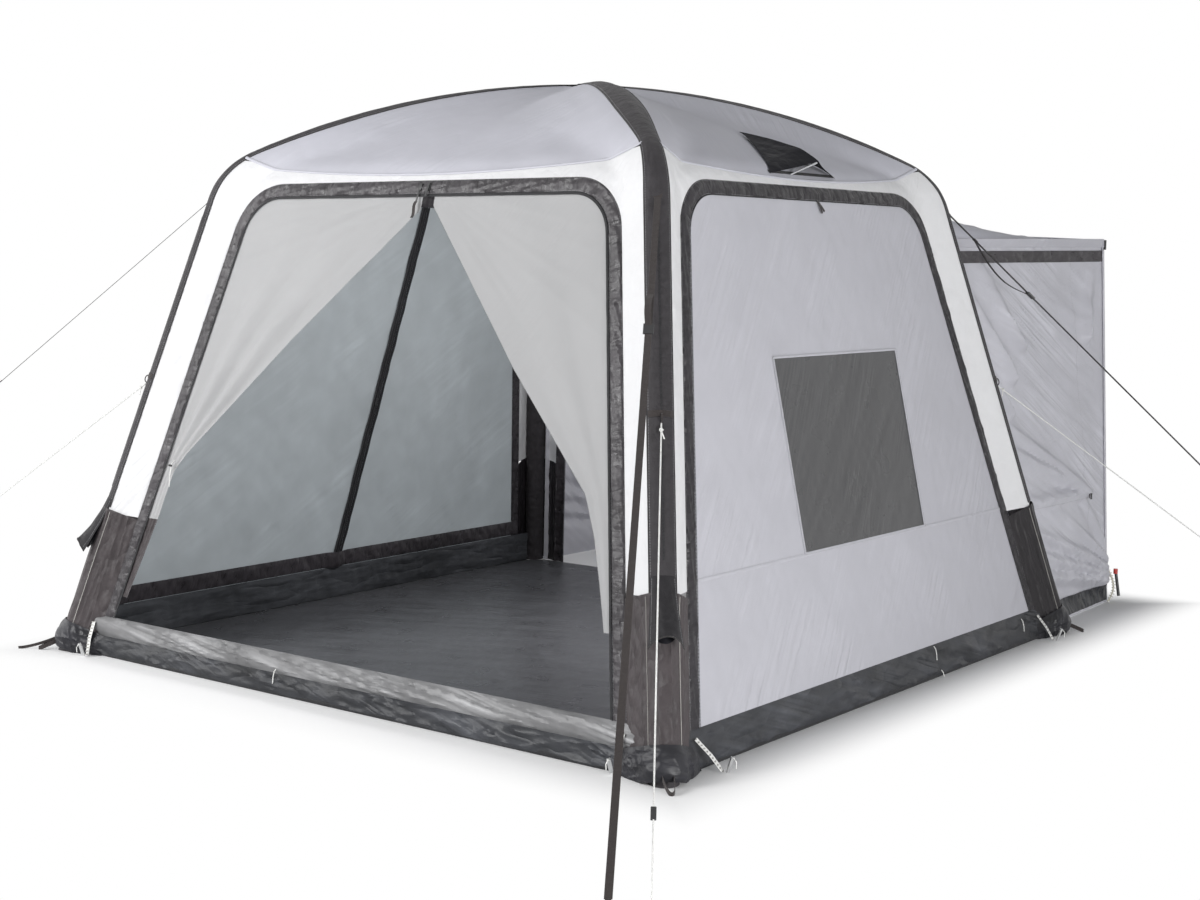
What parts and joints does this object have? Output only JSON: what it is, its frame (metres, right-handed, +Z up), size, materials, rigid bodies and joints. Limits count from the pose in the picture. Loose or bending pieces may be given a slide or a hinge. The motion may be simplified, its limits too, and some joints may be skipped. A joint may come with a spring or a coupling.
{
  "type": "inflatable camping shelter",
  "caption": "Square inflatable camping shelter on two crossed air arches, with a zipped door wall, window wall, roof vent, guys and a tunnel at the rear to join a vehicle.",
  "frame": {"origin": "on the ground at the middle of the square cabin, on the underside of its groundsheet", "axes": "+Z up; +X to the window wall; the door wall faces -Y and the tunnel leaves towards +Y"},
  "size_m": [3.8491, 4.8409, 2.3396],
  "materials": {
    "sleeve_cloth": "woven, matt, dark grey",
    "roof_cloth": "coated polyester, grey",
    "white_cloth": "coated polyester, white",
    "panel_cloth": "coated polyester, pale grey-lilac",
    "flap_cloth": "coated polyester, light grey",
    "band_cloth": "crinkled coated cloth, black-brown",
    "ground_cloth": "crinkled coated groundsheet cloth, dark grey",
    "sill_cloth": "crinkled coated cloth, pale grey",
    "window_film": "soft tinted film, dark grey",
    "side_cloth": "thin polyester with light through it, blue-grey",
    "air_tube": "soft air-tight bladder, pale grey",
    "zip_tape": "woven tape, black",
    "webbing": "woven webbing, black",
    "guy_cord": "braided cord, white",
    "black_plastic": "moulded, black",
    "stay_plastic": "moulded strip, grey"
  },
  "bodies": {
    "shelter": {"air_tube_front_left_to_rear_right": "air_tube", "air_tube_front_right_to_rear_left": "air_tube", "door_flap_left": "flap_cloth", "door_flap_right": "flap_cloth", "door_sill": "sill_cloth", "door_zip_slider": "black_plastic", "floor_edge_left": "ground_cloth", "floor_edge_right": "ground_cloth", "groundsheet": "ground_cloth", "guy_cord_front_left": "guy_cord", "guy_cord_front_right": "guy_cord", "guy_cord_rear_right": "guy_cord", "leg_sleeve_front_left": "sleeve_cloth", "leg_sleeve_front_right": "sleeve_cloth", "leg_sleeve_rear_left": "sleeve_cloth", "leg_sleeve_rear_right": "sleeve_cloth", "mud_skirt_front": "ground_cloth", "mud_skirt_left": "ground_cloth", "mud_skirt_right": "ground_cloth", "roof_panel_front": "roof_cloth", "roof_panel_left": "roof_cloth", "roof_panel_rear": "roof_cloth", "roof_panel_right": "roof_cloth", "roof_sleeve_front_left_to_rear_right": "sleeve_cloth", "roof_sleeve_front_right_to_rear_left": "sleeve_cloth", "side_door_left_front_half": "side_cloth", "side_door_left_rear_half": "side_cloth", "side_panel_right_lower": "panel_cloth", "side_panel_right_upper": "panel_cloth", "side_zip_left": "zip_tape", "storm_strap_front_left": "webbing", "storm_strap_front_right": "webbing", "storm_strap_rear_right": "webbing", "tunnel_end_band": "band_cloth", "tunnel_roof": "panel_cloth", "tunnel_wall_left": "panel_cloth", "tunnel_wall_right": "panel_cloth", "valve_front_left": "black_plastic", "valve_front_right": "black_plastic", "vent_hood": "zip_tape", "wall_surround_front": "white_cloth", "wall_surround_left": "white_cloth", "wall_surround_rear": "white_cloth", "wall_surround_right": "white_cloth", "window_film_right": "window_film", "zip_band_front": "band_cloth", "zip_band_left": "band_cloth", "zip_band_rear": "band_cloth", "zip_band_right": "band_cloth"},
    "door_zip_pull": {"door_zip_pull": "black_plastic"},
    "guy_slider_front_right": {"guy_slider_front_right": "black_plastic"},
    "side_zip_slider_left": {"side_zip_slider_left": "black_plastic"},
    "strap_buckle_front_right": {"strap_buckle_front_right": "black_plastic"},
    "strap_buckle_rear_right": {"strap_buckle_rear_right": "black_plastic"},
    "valve_cap_front_left": {"valve_cap_front_left": "black_plastic"},
    "valve_cap_front_right": {"valve_cap_front_right": "black_plastic"},
    "valve_cover_front_left": {"valve_cover_front_left": "sleeve_cloth"},
    "valve_cover_front_right": {"valve_cover_front_right": "sleeve_cloth"},
    "vent_stay": {"vent_stay": "stay_plastic"}
  },
  "joints": [
    {"name": "door_pull_swing", "type": "hinge", "parent": "shelter", "child": "door_zip_pull", "pos_m": [0.055, -1.01697, 1.89768], "axis": [-1, 0, 0], "range_deg": [0, 110]},
    {"name": "side_zip_slide", "type": "slide", "parent": "shelter", "child": "side_zip_slider_left", "axis": [0.2144, 0.1345, 0.9674], "range_m": [-0.74, 0.84]},
    {"name": "vent_stay_fold", "type": "hinge", "parent": "shelter", "child": "vent_stay", "pos_m": [1.04368, -0.085, 1.95021], "axis": [-0.6782, 0, 0.7349], "range_deg": [0, 34], "deforming": ["vent_hood"]},
    {"name": "valve_cap_turn_front_right", "type": "hinge", "parent": "shelter", "child": "valve_cap_front_right", "pos_m": [1.43926, -1.42156, 0.49063], "axis": [0.6755, -0.6639, 0.3208], "continuous": true},
    {"name": "valve_cover_lift_front_right", "type": "hinge", "parent": "shelter", "child": "valve_cover_front_right", "pos_m": [1.39832, -1.37566, 0.62816], "axis": [-0.7069, -0.7069, 0.0255], "range_deg": [0, 60]},
    {"name": "valve_cap_turn_front_left", "type": "hinge", "parent": "shelter", "child": "valve_cap_front_left", "pos_m": [-1.43926, -1.42156, 0.49063], "axis": [-0.6755, -0.6639, 0.3208], "continuous": true},
    {"name": "valve_cover_lift_front_left", "type": "hinge", "parent": "shelter", "child": "valve_cover_front_left", "pos_m": [-1.39832, -1.37566, 0.62816], "axis": [-0.7069, 0.7069, -0.0255], "range_deg": [0, 60]},
    {"name": "strap_buckle_slide_front_right", "type": "slide", "parent": "shelter", "child": "strap_buckle_front_right", "axis": [0.3605, -0.5728, -0.7362], "range_m": [-0.2, 0.3]},
    {"name": "strap_buckle_slide_rear_right", "type": "slide", "parent": "shelter", "child": "strap_buckle_rear_right", "axis": [0.5067, 0.5451, -0.6679], "range_m": [-0.2, 0.3]},
    {"name": "guy_slider_slide_front_right", "type": "slide", "parent": "shelter", "child": "guy_slider_front_right", "axis": [0.4549, -0.6471, -0.6118], "range_m": [-0.9, 0.1]}
  ]
}
